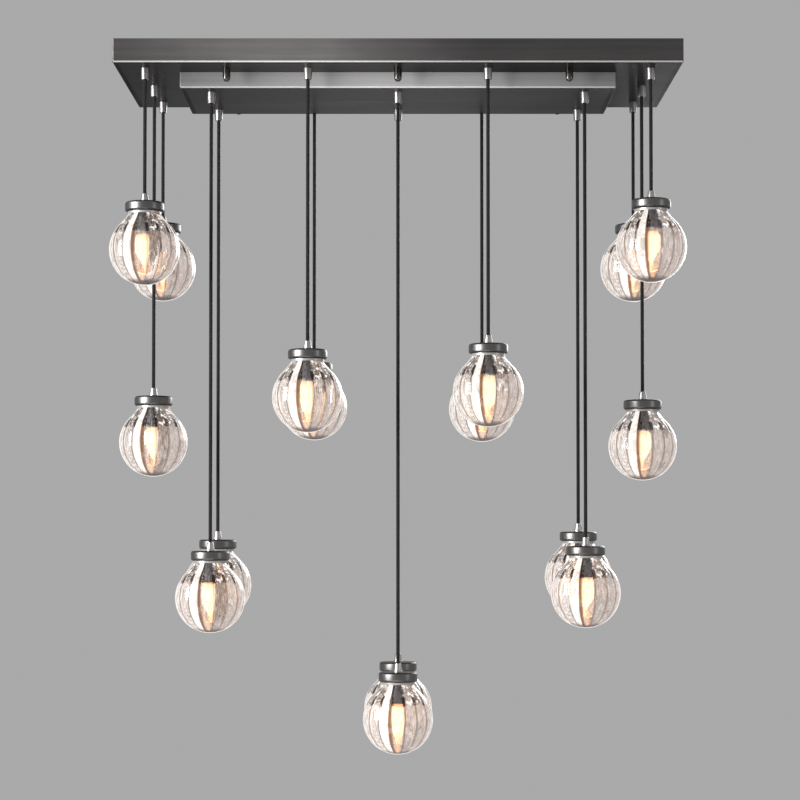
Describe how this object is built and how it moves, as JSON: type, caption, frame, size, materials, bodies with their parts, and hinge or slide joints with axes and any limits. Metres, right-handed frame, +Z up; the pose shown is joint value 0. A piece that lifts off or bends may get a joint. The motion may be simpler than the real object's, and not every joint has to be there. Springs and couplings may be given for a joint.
{
  "type": "rectangular chandelier",
  "caption": "Stepped rectangular ceiling canopy with ribbed glass globe lamps hung on straight cords at mixed heights, each free to swing.",
  "frame": {"origin": "middle of the face that lies against the ceiling", "axes": "+Z up into the ceiling, +X along the canopy, -Y towards the viewer's side"},
  "size_m": [1.0364, 0.4344, 1.2789],
  "materials": {
    "canopy_metal": "dark nickel plate, brushed lengthways",
    "polished_metal": "polished dark nickel plate",
    "satin_metal": "satin turned",
    "plain_steel": "zinc plated",
    "brass_screw": "green lacquered earth screw",
    "cord_cover": "black braided cover over two insulated cores",
    "moulded_block": "moulded insulator",
    "ribbed_glass": "clear mould-blown glass with upright ribs"
  },
  "bodies": {
    "canopy": {"outer_canopy": "canopy_metal", "lower_canopy": "canopy_metal", "crossbars": "plain_steel", "canopy_studs": "plain_steel", "cap_nuts": "polished_metal", "cord_grips": "satin_metal", "grip_locknuts": "plain_steel", "cord_tails": "cord_cover", "terminal_blocks": "moulded_block", "block_screws": "plain_steel", "tier_fasteners": "plain_steel", "earth_screw": "brass_screw"},
    "lamp_01": {"cord_01": "cord_cover", "lampholder_01": "polished_metal", "globe_and_bulb_01": "ribbed_glass"},
    "lamp_02": {"cord_02": "cord_cover", "lampholder_02": "polished_metal", "globe_and_bulb_02": "ribbed_glass"},
    "lamp_03": {"cord_03": "cord_cover", "lampholder_03": "polished_metal", "globe_and_bulb_03": "ribbed_glass"},
    "lamp_04": {"cord_04": "cord_cover", "lampholder_04": "polished_metal", "globe_and_bulb_04": "ribbed_glass"},
    "lamp_05": {"cord_05": "cord_cover", "lampholder_05": "polished_metal", "globe_and_bulb_05": "ribbed_glass"},
    "lamp_06": {"cord_06": "cord_cover", "lampholder_06": "polished_metal", "globe_and_bulb_06": "ribbed_glass"},
    "lamp_07": {"cord_07": "cord_cover", "lampholder_07": "polished_metal", "globe_and_bulb_07": "ribbed_glass"},
    "lamp_08": {"cord_08": "cord_cover", "lampholder_08": "polished_metal", "globe_and_bulb_08": "ribbed_glass"},
    "lamp_09": {"cord_09": "cord_cover", "lampholder_09": "polished_metal", "globe_and_bulb_09": "ribbed_glass"},
    "lamp_10": {"cord_10": "cord_cover", "lampholder_10": "polished_metal", "globe_and_bulb_10": "ribbed_glass"},
    "lamp_11": {"cord_11": "cord_cover", "lampholder_11": "polished_metal", "globe_and_bulb_11": "ribbed_glass"},
    "lamp_12": {"cord_12": "cord_cover", "lampholder_12": "polished_metal", "globe_and_bulb_12": "ribbed_glass"},
    "lamp_13": {"cord_13": "cord_cover", "lampholder_13": "polished_metal", "globe_and_bulb_13": "ribbed_glass"},
    "lamp_14": {"cord_14": "cord_cover", "lampholder_14": "polished_metal", "globe_and_bulb_14": "ribbed_glass"},
    "lamp_15": {"cord_15": "cord_cover", "lampholder_15": "polished_metal", "globe_and_bulb_15": "ribbed_glass"},
    "lamp_16": {"cord_16": "cord_cover", "lampholder_16": "polished_metal", "globe_and_bulb_16": "ribbed_glass"}
  },
  "joints": [
    {"name": "swing_01", "type": "hinge", "parent": "canopy", "child": "lamp_01", "pos_m": [-0.455, -0.154, -0.06105], "axis": [0, 1, 0], "range_deg": [-8, 8]},
    {"name": "swing_02", "type": "hinge", "parent": "canopy", "child": "lamp_02", "pos_m": [-0.162, -0.154, -0.06105], "axis": [0, 1, 0], "range_deg": [-8, 8]},
    {"name": "swing_03", "type": "hinge", "parent": "canopy", "child": "lamp_03", "pos_m": [0.162, -0.154, -0.06105], "axis": [0, 1, 0], "range_deg": [-8, 8]},
    {"name": "swing_04", "type": "hinge", "parent": "canopy", "child": "lamp_04", "pos_m": [0.455, -0.154, -0.06105], "axis": [0, 1, 0], "range_deg": [-8, 8]},
    {"name": "swing_05", "type": "hinge", "parent": "canopy", "child": "lamp_05", "pos_m": [-0.455, 0, -0.06105], "axis": [0, 1, 0], "range_deg": [-8, 8]},
    {"name": "swing_06", "type": "hinge", "parent": "canopy", "child": "lamp_06", "pos_m": [0.455, 0, -0.06105], "axis": [0, 1, 0], "range_deg": [-8, 8]},
    {"name": "swing_07", "type": "hinge", "parent": "canopy", "child": "lamp_07", "pos_m": [-0.455, 0.154, -0.06105], "axis": [0, 1, 0], "range_deg": [-8, 8]},
    {"name": "swing_08", "type": "hinge", "parent": "canopy", "child": "lamp_08", "pos_m": [-0.162, 0.154, -0.06105], "axis": [0, 1, 0], "range_deg": [-8, 8]},
    {"name": "swing_09", "type": "hinge", "parent": "canopy", "child": "lamp_09", "pos_m": [0.162, 0.154, -0.06105], "axis": [0, 1, 0], "range_deg": [-8, 8]},
    {"name": "swing_10", "type": "hinge", "parent": "canopy", "child": "lamp_10", "pos_m": [0.455, 0.154, -0.06105], "axis": [0, 1, 0], "range_deg": [-8, 8]},
    {"name": "swing_11", "type": "hinge", "parent": "canopy", "child": "lamp_11", "pos_m": [-0.3416, -0.084, -0.09005], "axis": [0, 1, 0], "range_deg": [-8, 8]},
    {"name": "swing_12", "type": "hinge", "parent": "canopy", "child": "lamp_12", "pos_m": [0, -0.084, -0.09005], "axis": [0, 1, 0], "range_deg": [-8, 8]},
    {"name": "swing_13", "type": "hinge", "parent": "canopy", "child": "lamp_13", "pos_m": [0.3416, -0.084, -0.09005], "axis": [0, 1, 0], "range_deg": [-8, 8]},
    {"name": "swing_14", "type": "hinge", "parent": "canopy", "child": "lamp_14", "pos_m": [-0.3416, 0.084, -0.09005], "axis": [0, 1, 0], "range_deg": [-8, 8]},
    {"name": "swing_15", "type": "hinge", "parent": "canopy", "child": "lamp_15", "pos_m": [0, 0.084, -0.09005], "axis": [0, 1, 0], "range_deg": [-8, 8]},
    {"name": "swing_16", "type": "hinge", "parent": "canopy", "child": "lamp_16", "pos_m": [0.3416, 0.084, -0.09005], "axis": [0, 1, 0], "range_deg": [-8, 8]}
  ]
}
